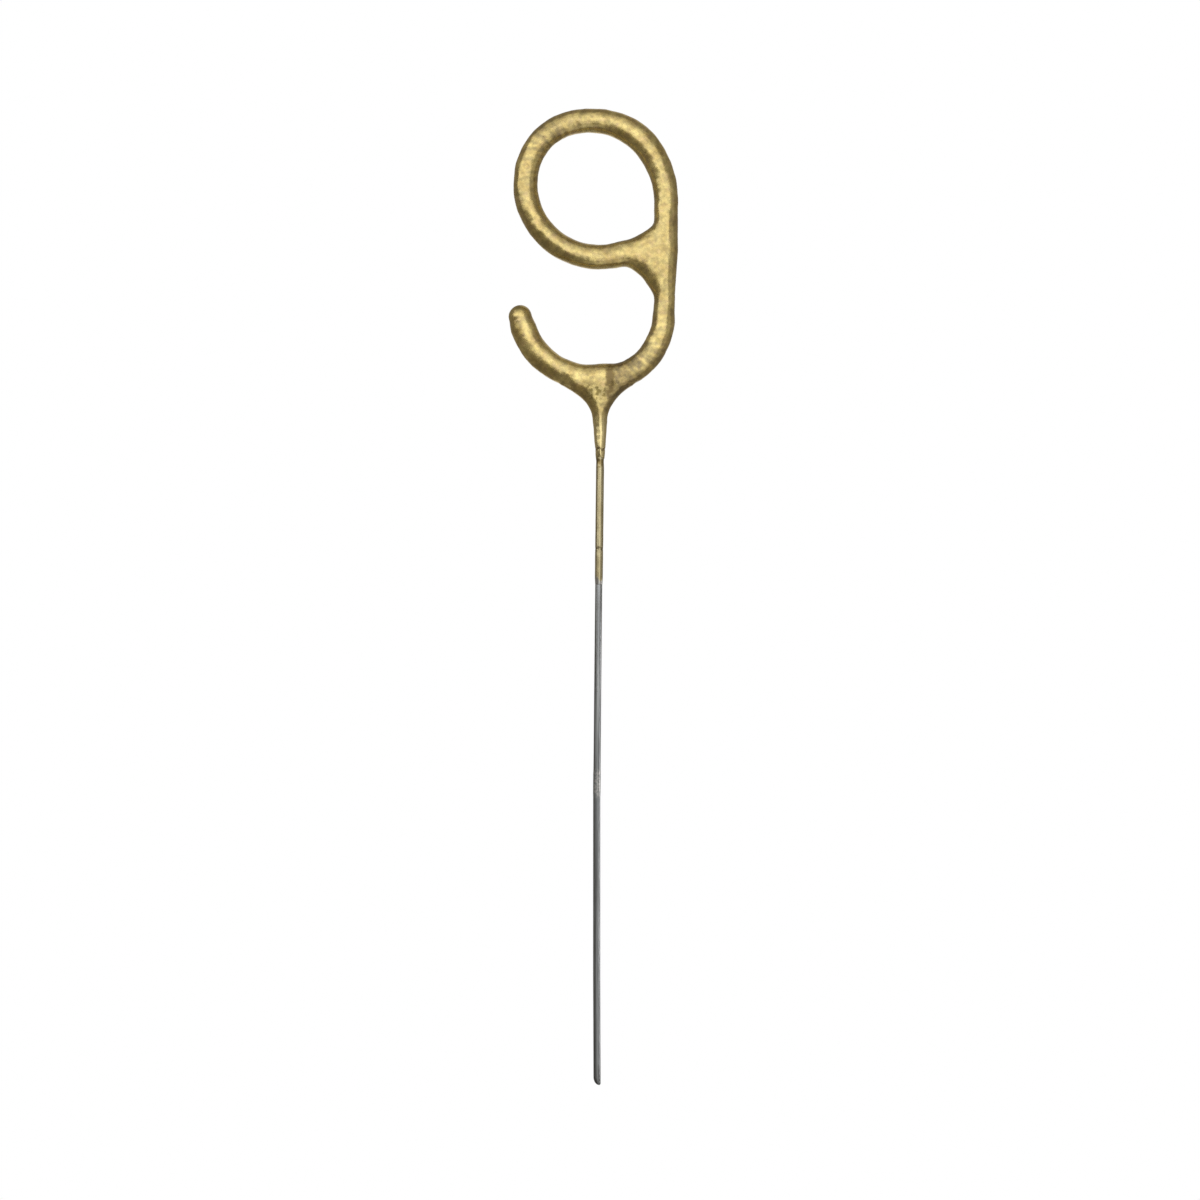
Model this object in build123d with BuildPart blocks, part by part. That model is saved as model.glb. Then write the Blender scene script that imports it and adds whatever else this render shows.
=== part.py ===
from build123d import *
import os

os.makedirs("parts", exist_ok=True)

# Numeral sparkler in millimetres. The origin is the lower tip of the stem wire, +Z runs up the stem
# and the numeral lies flat in the XZ plane, read from the -Y side.

# Steel wires
wire_diameter = 1.3
stem_tip_round = 0.5
joint_height = 128.6
# Pinch mark that the dipping rack left on the bare stem
pinch_height = 52.4
pinch_length = 5.3
pinch_run_in = 1.0
pinch_width = 1.36
pinch_thickness = 1.22
# Weld beads at the stem joint and at the end of the loop
weld_gap = 0.2
weld_diameter = 2.2
weld_height = 1.4
weld_sink = 0.2

# Bends of the numeral's wire, each a radius and the degrees it turns through.
# The tail runs left from the stem joint and hooks upward.
tail_base_radius = 16.4
tail_base_turn = 29.0
tail_hook_radius = 13.0
tail_hook_turn = 54.0
# The bowl runs right from the stem joint, climbs as the upright and comes round as the loop.
bowl_radius = 11.7
bowl_turn = 89.0
upright_length = 20.5
shoulder_radius = 15.9
shoulder_turn = 36.5
crown_radius = 13.3
crown_turn = 77.0
temple_radius = 10.8
temple_turn = 44.0
flank_radius = 12.8
flank_turn = 62.5
belly_radius = 13.9
belly_turn = 65.5

# Dipped coats
coat_diameter = 4.45
first_dip_diameter = 2.9
gold_thickness = 0.08
feather_thickness = 0.05
tip_length = 1.6
tip_round = 1.35
# Drained waist at the foot of the upright
waist_diameter = 3.98
waist_length = 9.0
# Web where the loop closes on the upright
web_reach_up = 2.2
web_reach_down = 6.8
web_thickness = 4.0
# Flare and drip where the coats run off on to the stem
flare_half_width = 6.0
flare_height = 6.4
flare_drop = 1.0
flare_thickness = 4.0
drip_root_diameter = 2.6
drip_tip_diameter = 1.54
drip_length = 6.9
feather_length = 0.8
# Mound over the stem joint
mound_half_width = 5.0
mound_rise = 0.6
# Thin gold run-off on the stem below the drip
gilding_length = 22.3

wire_radius = wire_diameter / 2
coat_radius = coat_diameter / 2
first_dip_inset = (coat_diameter - first_dip_diameter) / 2
feather_radius = wire_radius + feather_thickness
drip_root_radius = drip_root_diameter / 2
stem_joint = Vector(0, 0, joint_height)
stem_top = joint_height - wire_radius - weld_gap
flare_base = joint_height - flare_drop - flare_height
drip_base = flare_base - drip_length
depth = Vector(0, 1, 0)

# Centre lines of the numeral's wire
with BuildLine(Plane.XZ) as tail_line:
    tail_base = JernArc((0, joint_height), (-1, 0), tail_base_radius, -tail_base_turn)
    tail_hook = JernArc(tail_base @ 1, tail_base % 1, tail_hook_radius, -tail_hook_turn)
with BuildLine(Plane.XZ) as bowl_line:
    bowl = JernArc((0, joint_height), (1, 0), bowl_radius, bowl_turn)
with BuildLine(Plane.XZ) as upright_line:
    upright = Line(bowl @ 1, bowl @ 1 + (bowl % 1) * upright_length)
with BuildLine(Plane.XZ) as loop_line:
    shoulder = JernArc(upright @ 1, upright % 1, shoulder_radius, shoulder_turn)
    crown = JernArc(shoulder @ 1, shoulder % 1, crown_radius, crown_turn)
    temple = JernArc(crown @ 1, crown % 1, temple_radius, temple_turn)
    flank = JernArc(temple @ 1, temple % 1, flank_radius, flank_turn)
    belly = JernArc(flank @ 1, flank % 1, belly_radius, belly_turn)

# The closing run carries on straight from the loop and stops one weld gap short of the upright.
upright_foot = upright @ 0
upright_heading = upright % 0
square_to_upright = depth.cross(upright_heading)
closing_start = belly @ 1
closing_heading = belly % 1
closing_slope = closing_heading.dot(square_to_upright)
closing_reach = (upright_foot - closing_start).dot(square_to_upright) / closing_slope
closing_length = closing_reach - (wire_radius + weld_gap) / closing_slope
meeting_point = closing_start + closing_heading * closing_reach
with BuildLine() as closing_line:
    Line(closing_start, closing_start + closing_heading * closing_length)

with BuildLine() as lower_line:
    add(tail_line.line)
    add(bowl_line.line)
with BuildLine() as figure_line:
    add(lower_line.line)
    add(upright_line.line)
    add(loop_line.line)
    add(closing_line.line)


def lengthwise(origin, heading):
    """Plane with the depth of the numeral as x and the heading as y."""
    return Plane(origin=origin, x_dir=depth, z_dir=depth.cross(heading))


def across(origin, heading):
    """Plane square to the heading, with x in the plane of the numeral."""
    return Plane(origin=origin, x_dir=heading.cross(depth), z_dir=heading)


def tube(line, radius):
    """Round bar along a centre line."""
    path = line.wires()[0]
    with BuildPart() as bar:
        with BuildSketch(across(path @ 0, path % 0)):
            Circle(radius)
        sweep(path=path)
    return bar.part


def weld_bead(joint, heading):
    """Bead round the end of a wire that meets another wire's axis at the joint."""
    with BuildPart() as bead:
        with BuildSketch(lengthwise(joint, heading)):
            with BuildLine():
                foot = Line((0, -weld_height), (feather_radius, -weld_height))
                throat = Line((0, -weld_sink), (weld_diameter / 2, -weld_sink))
                Line(foot @ 0, throat @ 0)
                RadiusArc(foot @ 1, throat @ 1, weld_height)
            make_face()
        revolve(axis=Axis(joint, heading))
    return bead.part


def tail_tip(inset):
    """Rounded end of the coat past the tip of the tail's wire."""
    side = coat_radius - inset
    corner = tip_round - inset
    tip = tail_hook @ 1
    heading = tail_hook % 1
    with BuildPart() as end:
        with BuildSketch(lengthwise(tip, heading)):
            with BuildLine():
                length = tip_length - inset
                face = Polyline((side, 0), (0, 0), (0, length), (side - corner, length))
                shoulder_arc = JernArc(face @ 1, (1, 0), corner, -90)
                Line(shoulder_arc @ 1, face @ 0)
            make_face()
        revolve(axis=Axis(tip, heading))
    return end.part


def upright_column(inset):
    """Coat on the straight upright, drained to a waist at its foot."""
    side = coat_radius - inset
    waist = waist_diameter / 2 - inset
    with BuildPart() as column:
        with BuildSketch(lengthwise(upright_foot, upright_heading)):
            with BuildLine():
                dip = ThreePointArc((side, 0), (waist, waist_length / 2), (side, waist_length))
                Polyline(dip @ 1, (side, upright_length), (0, upright_length), (0, 0), dip @ 0)
            make_face()
        revolve(axis=Axis(upright_foot, upright_heading))
    return column.part


def closing_web(inset):
    """Coat on the closing run, widening into a web as it meets the upright."""
    side = coat_radius - inset
    edge_share = 1 - coat_radius / (closing_reach * closing_slope)
    with BuildPart() as web:
        with BuildSketch(across(closing_start, closing_heading)):
            Circle(side)
        for share in (0.4, 0.65, 0.85, 1, 1 / edge_share):
            rise = min(share, 1) ** 2
            up = side / closing_slope + web_reach_up * rise
            down = side / closing_slope + web_reach_down * rise
            thickness = side + (web_thickness / 2 - coat_radius) * rise
            middle = closing_start + closing_heading * closing_reach * edge_share * share
            center = middle + upright_heading * (up - down) / 2
            with BuildSketch(across(center, square_to_upright)):
                Ellipse((up + down) / 2, thickness)
        loft()
    return web.part


def stem_flare(inset, root_radius):
    """Flare from the numeral's base down to a round root on the stem."""
    width = flare_half_width - inset - root_radius
    thickness = flare_thickness / 2 - inset - root_radius
    with BuildPart() as flare:
        with BuildSketch(Plane.XY.offset(flare_base)):
            Circle(root_radius)
        for share in (0.35, 0.6, 0.8, 1, 1 + flare_drop / flare_height):
            rise = min(share, 1)
            with BuildSketch(Plane.XY.offset(flare_base + flare_height * share)):
                Ellipse(root_radius + width * rise**2, root_radius + thickness * rise)
        loft()
    return flare.part


def joint_mound(inset):
    """Swelling of the coat over the stem joint."""
    half_thickness = flare_thickness / 2 - inset
    half_height = coat_radius + mound_rise - inset
    ball = scale(Sphere(1), by=(mound_half_width - inset, half_thickness, half_height))
    with BuildPart() as mound:
        with Locations(stem_joint):
            add(ball)
    return mound.part


def coat_form(inset, root_radius):
    """Solid shape of the dipped numeral down to the root of the drip."""
    lower_run = tube(lower_line, coat_radius - inset)
    tip = tail_tip(inset)
    column = upright_column(inset)
    loop_run = tube(loop_line, coat_radius - inset)
    web = closing_web(inset)
    flare = stem_flare(inset, root_radius)
    mound = joint_mound(inset)
    with BuildPart() as form:
        add(lower_run)
        add(tip)
        add(column)
        add(loop_run)
        add(web)
        add(flare)
        add(mound)
    return form.part


def drip(root_radius, tip_radius, tip_height):
    """Tapered run-off on the stem under the flare."""
    height = flare_base - tip_height
    with BuildPart() as taper:
        with Locations((0, 0, tip_height)):
            Cone(tip_radius, root_radius, height, align=(Align.CENTER, Align.CENTER, Align.MIN))
    return taper.part


# Wires
with BuildPart() as stem_wire:
    Cylinder(wire_radius, pinch_height, align=(Align.CENTER, Align.CENTER, Align.MIN))
    fillet(stem_wire.edges().sort_by(Axis.Z)[0], stem_tip_round)
    with BuildSketch(Plane.XY.offset(pinch_height)):
        Circle(wire_radius)
    for run in (pinch_run_in, pinch_length - pinch_run_in):
        with BuildSketch(Plane.XY.offset(pinch_height + run)):
            Ellipse(pinch_width / 2, pinch_thickness / 2)
    with BuildSketch(Plane.XY.offset(pinch_height + pinch_length)):
        Circle(wire_radius)
    loft(ruled=True)
    with BuildSketch(Plane.XY.offset(pinch_height + pinch_length)):
        Circle(wire_radius)
    extrude(amount=stem_top - pinch_height - pinch_length)

figure_bar = tube(figure_line, wire_radius)
with BuildPart() as figure_wire:
    add(figure_bar)

# Welds
stem_bead = weld_bead(stem_joint, Vector(0, 0, 1))
with BuildPart() as stem_weld:
    add(stem_bead)
    add(stem_wire.part, mode=Mode.SUBTRACT)
    add(figure_wire.part, mode=Mode.SUBTRACT)

loop_bead = weld_bead(meeting_point, closing_heading)
with BuildPart() as loop_weld:
    add(loop_bead)
    add(figure_wire.part, mode=Mode.SUBTRACT)

# Dipped coats from the inside out, each cut by what it covers
first_form = coat_form(first_dip_inset, feather_radius)
second_form = coat_form(gold_thickness, drip_root_radius - gold_thickness)
second_drip = drip(drip_root_radius - gold_thickness, feather_radius, drip_base + feather_length)
gold_form = coat_form(0, drip_root_radius)
gold_drip = drip(drip_root_radius, drip_tip_diameter / 2, drip_base)

with BuildPart() as first_dip_coat:
    add(first_form)
    add(stem_wire.part, mode=Mode.SUBTRACT)
    add(figure_wire.part, mode=Mode.SUBTRACT)
    add(stem_weld.part, mode=Mode.SUBTRACT)
    add(loop_weld.part, mode=Mode.SUBTRACT)

with BuildPart() as second_dip_coat:
    add(second_form)
    add(second_drip)
    add(first_form, mode=Mode.SUBTRACT)
    add(stem_wire.part, mode=Mode.SUBTRACT)

with BuildPart() as gold_skin:
    add(gold_form)
    add(gold_drip)
    add(second_form, mode=Mode.SUBTRACT)
    add(second_drip, mode=Mode.SUBTRACT)
    add(stem_wire.part, mode=Mode.SUBTRACT)

with BuildPart() as stem_gilding:
    with BuildSketch(Plane.XY.offset(drip_base - gilding_length)):
        Circle(wire_radius + gold_thickness)
        Circle(wire_radius, mode=Mode.SUBTRACT)
    extrude(amount=gilding_length)

stem_wire.part.label = "stem_wire"
figure_wire.part.label = "figure_wire"
stem_weld.part.label = "stem_weld"
loop_weld.part.label = "loop_weld"
first_dip_coat.part.label = "first_dip_coat"
second_dip_coat.part.label = "second_dip_coat"
gold_skin.part.label = "gold_skin"
stem_gilding.part.label = "stem_gilding"

export_step(stem_wire.part, "parts/stem_wire.step")
export_step(figure_wire.part, "parts/figure_wire.step")
export_step(stem_weld.part, "parts/stem_weld.step")
export_step(loop_weld.part, "parts/loop_weld.step")
export_step(first_dip_coat.part, "parts/first_dip_coat.step")
export_step(second_dip_coat.part, "parts/second_dip_coat.step")
export_step(gold_skin.part, "parts/gold_skin.step")
export_step(stem_gilding.part, "parts/stem_gilding.step")
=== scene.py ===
"""Looks of a gold numeral sparkler: a dipped wire figure that runs down on to a bare steel stem."""
import math

import bpy
import numpy as np
from mathutils import Matrix, Vector, noise


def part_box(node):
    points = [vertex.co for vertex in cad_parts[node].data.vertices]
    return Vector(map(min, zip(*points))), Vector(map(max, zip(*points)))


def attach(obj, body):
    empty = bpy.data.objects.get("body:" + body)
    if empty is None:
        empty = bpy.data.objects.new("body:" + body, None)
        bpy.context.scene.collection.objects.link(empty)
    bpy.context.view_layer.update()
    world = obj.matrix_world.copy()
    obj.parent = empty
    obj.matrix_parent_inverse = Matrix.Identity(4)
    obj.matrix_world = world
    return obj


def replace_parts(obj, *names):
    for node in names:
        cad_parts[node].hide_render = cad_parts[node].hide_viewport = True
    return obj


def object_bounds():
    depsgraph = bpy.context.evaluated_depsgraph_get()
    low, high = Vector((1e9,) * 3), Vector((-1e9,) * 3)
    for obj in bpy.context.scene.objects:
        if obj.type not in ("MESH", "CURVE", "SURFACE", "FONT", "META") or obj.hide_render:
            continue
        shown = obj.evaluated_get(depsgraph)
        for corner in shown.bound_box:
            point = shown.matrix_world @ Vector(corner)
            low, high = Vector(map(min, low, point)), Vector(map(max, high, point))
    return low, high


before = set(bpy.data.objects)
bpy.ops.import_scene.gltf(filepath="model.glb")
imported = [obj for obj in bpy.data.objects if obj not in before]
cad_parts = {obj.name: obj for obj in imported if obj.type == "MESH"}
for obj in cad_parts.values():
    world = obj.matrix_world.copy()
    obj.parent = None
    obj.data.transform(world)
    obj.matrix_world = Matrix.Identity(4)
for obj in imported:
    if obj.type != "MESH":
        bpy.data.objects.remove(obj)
cad_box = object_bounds()

MM = 0.001

# Sizes are in millimetres in the frame of the part: +Z up the stem, the numeral flat in the XZ plane.
# Points of that plane are complex numbers, x + z j, and a turn to the left is positive.
JOINT_HEIGHT = 128.6

# Stretches of the numeral's centre line: bend radius and turn in degrees, or 0 and a straight length,
# then the coat's half width in the middle of the stretch and its lean to the left of the heading.
TAIL = [
    (16.5, -28.7, 2.28, 0.0),
    (12.8, -37.5, 2.34, 0.03),
    (16.0, -8.6, 2.36, 0.0),
    (0, 1.0, 2.12, 0.0),
]
BOWL_TO_CROWN = [
    (11.8, 44.6, 2.28, 0.0),
    (11.0, 44.6, 2.22, 0.13),
    (0, 9.3, 1.87, -0.15),
    (0, 6.7, 2.42, 0.0),
    (0, 5.0, 2.18, -0.05),
    (15.9, 36.8, 2.28, -0.07),
    (13.2, 29.1, 2.48, -0.23),
    (13.6, 45.9, 2.19, 0.02),
]
REST_OF_LOOP = [
    (10.3, 44.1, 2.19, 0.02),
    (13.1, 63.2, 2.22, 0.02),
    (13.8, 66.2, 2.22, 0.19),
    (0, 6.0, 2.3, 0.24),
]

# Web where the loop closes on the upright, measured up and down from the closing run
WEB_EDGE_X = 9.9
WEB_START_LAP = 0.6
WEB_END_LAP = 3.0
WEB_UP = 2.5
WEB_UP_REACH = 1.8
WEB_UP_POWER = 2.9
WEB_DOWN = 2.06
WEB_DOWN_REACH = 7.07
WEB_DOWN_POWER = 2.05
# Share of the span up to which the web's underside goes on curving down
WEB_DOWN_SHARE = 1.3
WEB_FOOT = 142.0
WEB_FOOT_FADE = 7.0

# Flare over the stem joint
FLARE_BASE = 121.0
FLARE_HEIGHT = 6.5
FLARE_LEFT = 5.5
FLARE_LEFT_POWER = 2.22
FLARE_RIGHT = 4.47
FLARE_RIGHT_POWER = 2.07
FLARE_LAP = 1.0

# Drip below the flare, with a nick near its end
DRIP_TIP = 114.0
DRIP_TIP_RADIUS = 0.77
DRIP_ROOT_RADIUS = 1.33
DRIP_ROOT_HALF_DEPTH = 1.34
DRIP_END_HALF_DEPTH = 1.06
DRIP_END = 115.2
DRIP_LEAN = 0.18
DRIP_NICK = 115.9
NICK_DEPTH = 0.05
NICK_HALF_HEIGHT = 0.25

# Mound on top of the bowl over the stem joint, and the heights above the joint where it is full and ends
MOUND_X = 0.6
MOUND_RISE = 0.56
MOUND_SPREAD = 2.55
MOUND_FULL = 1.5
MOUND_END = 6.0

# Valley that the run-off left to the right of the stem joint
VALLEY = 1.85 + 128.4j
VALLEY_HALF_WIDTH = 0.9
VALLEY_HALF_HEIGHT = 3.5
VALLEY_DEPTH = 0.1

# Rounding where two coats meet, at the outline and deep inside it, and the least that can be divided by
BLEND = 0.5
INNER_BLEND = 2.5
LEAST_BLEND = 1e-6
# Reach over which the widths of two coats, and the depths of the bowl and the flare, run into each other
WIDTH_BLEND = 0.4
DEPTH_BLEND = 3.0

# Depth of the coat, which the photograph doesn't show, and the paint on it
COAT_HALF_DEPTH = 2.14
PAINT_THICKNESS = 0.12

# Lumps, grit and ripples of the coat: size, height and seed
LUMP_SIZE = 2.4
LUMP_HEIGHT = 0.09
LUMP_SEED = 1
GRIT_SIZE = 0.85
GRIT_HEIGHT = 0.024
GRIT_SEED = 2
RIPPLE_LENGTH = 0.75
RIPPLE_BREADTH = 3.5
RIPPLE_SLANT = 0.25
RIPPLE_HEIGHT = 0.045
RIPPLE_SEED = 3
# How far the noise is shifted for each count of the seed
NOISE_SHIFT = (17.3, 5.1, 29.7)
# Radius at which the way round the coat is measured
AROUND_RADIUS = 2.0
# Places where the dip dried in ripples across the coat, and how far they spread
RIPPLED = [(-8.5 + 169.5j, 7.0), (8.0 + 132.5j, 6.5)]
# How far the smooth end of the tail reaches, and how much less relief it and the valley have
SMOOTH_TIP = 3.2
SMOOTHING = 0.8

# Grid of the coat's surface, in millimetres and cells, and how its vertices are evened out and settled
GRID_STEP = 0.15
GRID_MARGIN = 4
RELAX_ROUNDS = 8
SETTLE_ROUNDS = 2
SETTLE_NUDGE = 0.02
SETTLE_LIMIT = 0.1
LEAST_STEEPNESS = 0.25

# Stem, with a slanted tip that is lowest at TIP_X and rounds out to the full wire over a height on each side
WIRE_RADIUS = 0.65
TIP_X = 0.42
TIP_RIGHT_HEIGHT = 0.4
TIP_LEFT_HEIGHT = 1.45
TIP_HALF_WIDTH = 0.004
# How far the stem's front and back lie inside the full round
STEM_INSET = 0.001
# Pinch mark, with the height over which it runs in and how flat it is
PINCH_BOTTOM = 52.4
PINCH_TOP = 57.7
PINCH_RAMP = 1.0
PINCH_FLAT = 0.03
# Heights up the stem, and how far its slight bow lies to the right there
BOW_HEIGHTS = [0, 20, 52, 85, 112, 128]
BOW_OFFSETS = [0.25, 0.06, -0.11, 0.0, 0.15, 0.0]
# Bottom, top and number of rings of the tip, the lower stem and the pinch mark, and the stem above them
STEM_SPANS = [(0, 1.6, 22), (1.8, 51, 60), (51.3, 59, 60)]
UPPER_STEM_BOTTOM = 60
UPPER_STEM_RINGS = 70
BAR_SIDES = 64

# Gold film on the stem, with a worn lower edge, a ring mark and a neck under the drip
FILM_RADIUS = 0.73
FILM_BOTTOM = 91.2
FILM_EDGE = 92.1
FILM_EDGE_THICKNESS = 0.004
FILM_FADE = 1.2
FILM_LAP = 0.9
FILM_RING = 97.7
FILM_RING_DEPTH = 0.035
FILM_RING_HALF_HEIGHT = 0.22
FILM_NECK = 113.5
FILM_NECK_DEPTH = 0.04
FILM_NECK_HALF_HEIGHT = 0.5
FILM_SWELL = 0.012
FILM_SWELL_LENGTH = 1.7
FILM_RINGS = 150

# Darker tan gold on the bowl to the right of the flare: where it starts and is full, then starts to fade and
# ends
DARK_TAN_START = 0.6
DARK_TAN_FULL = 1.8
DARK_TAN_FADE = 5.5
DARK_TAN_END = 9.2
DARK_TAN_RAGGED = 0.8
# Second darker tan place, at the upper left of the loop, how far it reaches and how strong it is there
DARK_TAN_SPOT = -9.4 + 173.3j
DARK_TAN_SPOT_REACH = 5.5
DARK_TAN_SPOT_SHARE = 0.6
# Paler, brighter gold on the tail: how far left it is full, and where it has ended
PALE_TAIL_START = -7.0
PALE_TAIL_END = -1.0
# Heights between which the paint of the bowl and the tail gives way to that of the loop
LOOP_PAINT_LOW = 135.0
LOOP_PAINT_HIGH = 139.0
# Olive blotches on the flare: their limits across and up, and how far they fade out
BLOTCH_LEFT = -2.0
BLOTCH_RIGHT = 0.8
BLOTCH_LOW = 125.2
BLOTCH_HIGH = 127.4
BLOTCH_FADE = 0.7

# Heights between which the painted shade on the stem's steel fades from dark to none, and it turns from dull
# to glossy
STEEL_SHADED = 48
STEEL_UNSHADED = 105
STEEL_DULL = 60
STEEL_GLOSSY = 85
# Distances from the middle of the pinch mark where its scuff starts to fade and ends
SCUFF_FADE = 1.8
SCUFF_END = 3.0

# Stage, in metres
WALL_Y = 0.95
WALL_HALF_WIDTH = 0.45
WALL_TOP = 0.52
FLOOR_Z = -0.6
FLOOR_FRONT = 0.3
# Soft lamps: azimuth and elevation in degrees, distance, width and height in metres, and radiance
LAMPS = {
    "key_softbox": (-16, 12.5, 0.9, 2.3, 0.44, 1.3),
    "upper_softbox": (-16, 36, 0.9, 2.2, 0.35, 0.88),
    "top_softbox": (-16, 59, 0.9, 1.6, 0.45, 0.5),
    "fill_softbox": (15, -14, 0.8, 0.62, 0.36, 1.0),
    "side_softbox": (56, -3, 0.9, 0.65, 0.95, 0.2),
    "low_softbox": (25, -46, 0.8, 0.65, 0.62, 0.55),
    "rear_softbox": (160, 40, 0.9, 0.6, 0.6, 0.35),
}
STEM_LAMP = (88, 0, 0.25, 0.36, 0.08, 0.36)
# Heights in metres that the lamps face, and how wide their beams are in degrees
LAMP_AIM = 0.13
LAMP_BEAM = 180
STEM_LAMP_AIM = 0.022
STEM_LAMP_BEAM = 30


# Helpers

def bell(distance, spread):
    """Bell curve that is 1 at no distance."""
    return np.exp(-((distance / spread) ** 2))


def eased(share):
    """Share from 0 to 1 that starts and ends gently."""
    return share * share * (3 - 2 * share)


def quarter_round(share):
    """Rise from 0 to 1 along a quarter circle."""
    return math.sqrt(1 - (1 - min(1.0, share)) ** 2)


# Centre line and outline of the coat

class Stretch:
    """One bend or straight of a centre line, and how the coat lies on it."""

    def __init__(self, start, heading, run, radius, turn, half_width, lean):
        self.start, self.heading, self.run = start, heading, run
        self.half_width, self.lean = half_width, lean
        self.radius = radius
        self.turn = math.radians(turn) if radius else 0.0
        self.length = radius * abs(self.turn) if radius else turn
        if radius:
            self.centre = start + 1j * heading * math.copysign(radius, turn)
            swing = np.exp(1j * self.turn)
            self.end = self.centre + (start - self.centre) * swing
            self.end_heading = heading * swing
        else:
            self.end = start + heading * self.length
            self.end_heading = heading

    def nearest(self, points):
        """Distance of points from the stretch, their arc length and their offset to the left."""
        if self.radius:
            spoke = (points - self.centre) / (self.start - self.centre)
            angle = np.angle(spoke * np.exp(-0.5j * self.turn)) + self.turn / 2
            angle = np.clip(angle, min(0, self.turn), max(0, self.turn))
            swing = np.exp(1j * angle)
            foot = self.centre + (self.start - self.centre) * swing
            offset = (points - foot) / (self.heading * swing)
            along = self.radius * abs(angle)
        else:
            offset = (points - self.start) / self.heading
            along = np.clip(offset.real, 0, self.length)
            offset = offset - along
        return abs(offset), self.run + along, offset.imag


def walk(start, heading, bends, run=0.0):
    """Stretches of a centre line, laid end to end."""
    line = []
    for bend in bends:
        stretch = Stretch(start, heading, run, *bend)
        line.append(stretch)
        start, heading, run = stretch.end, stretch.end_heading, run + stretch.length
    return line


tail_line = walk(1j * JOINT_HEIGHT, -1, TAIL)
crown_line = walk(1j * JOINT_HEIGHT, 1, BOWL_TO_CROWN)
crown = crown_line[-1]
loop_line = walk(crown.end, crown.end_heading, REST_OF_LOOP, crown.run + crown.length)


def soft_union(a, b, edge=BLEND, inner=INNER_BLEND):
    """The lower of two fields, rounded where they meet and more so deep inside both."""
    reach = np.maximum(edge + inner * np.clip(-np.maximum(a, b), 0, 1), LEAST_BLEND)
    near = np.maximum(reach - abs(a - b), 0) / reach
    return np.minimum(a, b) - near * near * reach / 4


def tube_field(line, points):
    """Outline field of a coated wire, with the half width, arc length and left offset at each point."""
    distance = np.full(points.shape, np.inf)
    along = np.zeros(points.shape)
    left = np.zeros(points.shape)
    for stretch in line:
        d, s, side = stretch.nearest(points)
        closer = d < distance
        distance[closer], along[closer], left[closer] = d[closer], s[closer], side[closer]
    middles = [stretch.run + stretch.length / 2 for stretch in line]
    half_width = np.interp(along, middles, [stretch.half_width for stretch in line])
    lean = np.interp(along, middles, [stretch.lean for stretch in line])
    leaned = half_width + lean * np.clip(left / half_width, -1, 1)
    return distance - leaned, half_width, along, left


def web_field(points):
    """Outline field of the web under and over the closing run, and how far along it points lie."""
    start, heading = loop_line[-1].start, loop_line[-1].heading
    slope = heading.imag / heading.real
    span = WEB_EDGE_X - start.real
    share = np.clip((points.real - start.real) / span, 0, 1)
    lower_share = np.clip((points.real - start.real) / span, 0, WEB_DOWN_SHARE)
    height = points.imag - start.imag - slope * (points.real - start.real)
    up_slope = slope + WEB_UP_REACH * WEB_UP_POWER * share ** (WEB_UP_POWER - 1) / span
    down_slope = slope - WEB_DOWN_REACH * WEB_DOWN_POWER * lower_share ** (WEB_DOWN_POWER - 1) / span
    over = height - WEB_UP / heading.real - WEB_UP_REACH * share**WEB_UP_POWER
    under = -height - WEB_DOWN / heading.real - WEB_DOWN_REACH * lower_share**WEB_DOWN_POWER
    field = np.maximum(over / np.hypot(1, up_slope), under / np.hypot(1, down_slope))
    ends = np.maximum(start.real - WEB_START_LAP - points.real, points.real - WEB_EDGE_X - WEB_END_LAP)
    return np.maximum(field, ends), share


def flare_field(points):
    """Outline field of the flare and the drip, and their half depth."""
    x, z = points.real, points.imag
    x = x - DRIP_LEAN * np.clip((JOINT_HEIGHT - z) / (JOINT_HEIGHT - DRIP_TIP), 0, 1)
    drip_share = np.clip((z - DRIP_TIP) / (FLARE_BASE - DRIP_TIP), 0, 1)
    drip = DRIP_TIP_RADIUS + (DRIP_ROOT_RADIUS - DRIP_TIP_RADIUS) * drip_share
    drip = drip - NICK_DEPTH * bell(z - DRIP_NICK, NICK_HALF_HEIGHT)
    rise = np.clip((z - FLARE_BASE) / FLARE_HEIGHT, 0, 1)
    reach = np.where(x < 0, FLARE_LEFT, FLARE_RIGHT)
    power = np.where(x < 0, FLARE_LEFT_POWER, FLARE_RIGHT_POWER)
    slope = reach * power * rise ** (power - 1) / FLARE_HEIGHT
    field = (abs(x) - drip - reach * rise**power) / np.hypot(1, slope)
    ends = np.maximum(DRIP_TIP - z, z - JOINT_HEIGHT - FLARE_LAP)
    half_depth = np.interp(
        z,
        [DRIP_TIP, DRIP_END, FLARE_BASE, JOINT_HEIGHT],
        [DRIP_TIP_RADIUS, DRIP_END_HALF_DEPTH, DRIP_ROOT_HALF_DEPTH, COAT_HALF_DEPTH],
    )
    return np.maximum(field, ends), half_depth


def valley_share(points):
    """How deep points lie in the valley, from 0 to 1."""
    apart = points - VALLEY
    return bell(apart.real, VALLEY_HALF_WIDTH) * bell(apart.imag, VALLEY_HALF_HEIGHT)


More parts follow.
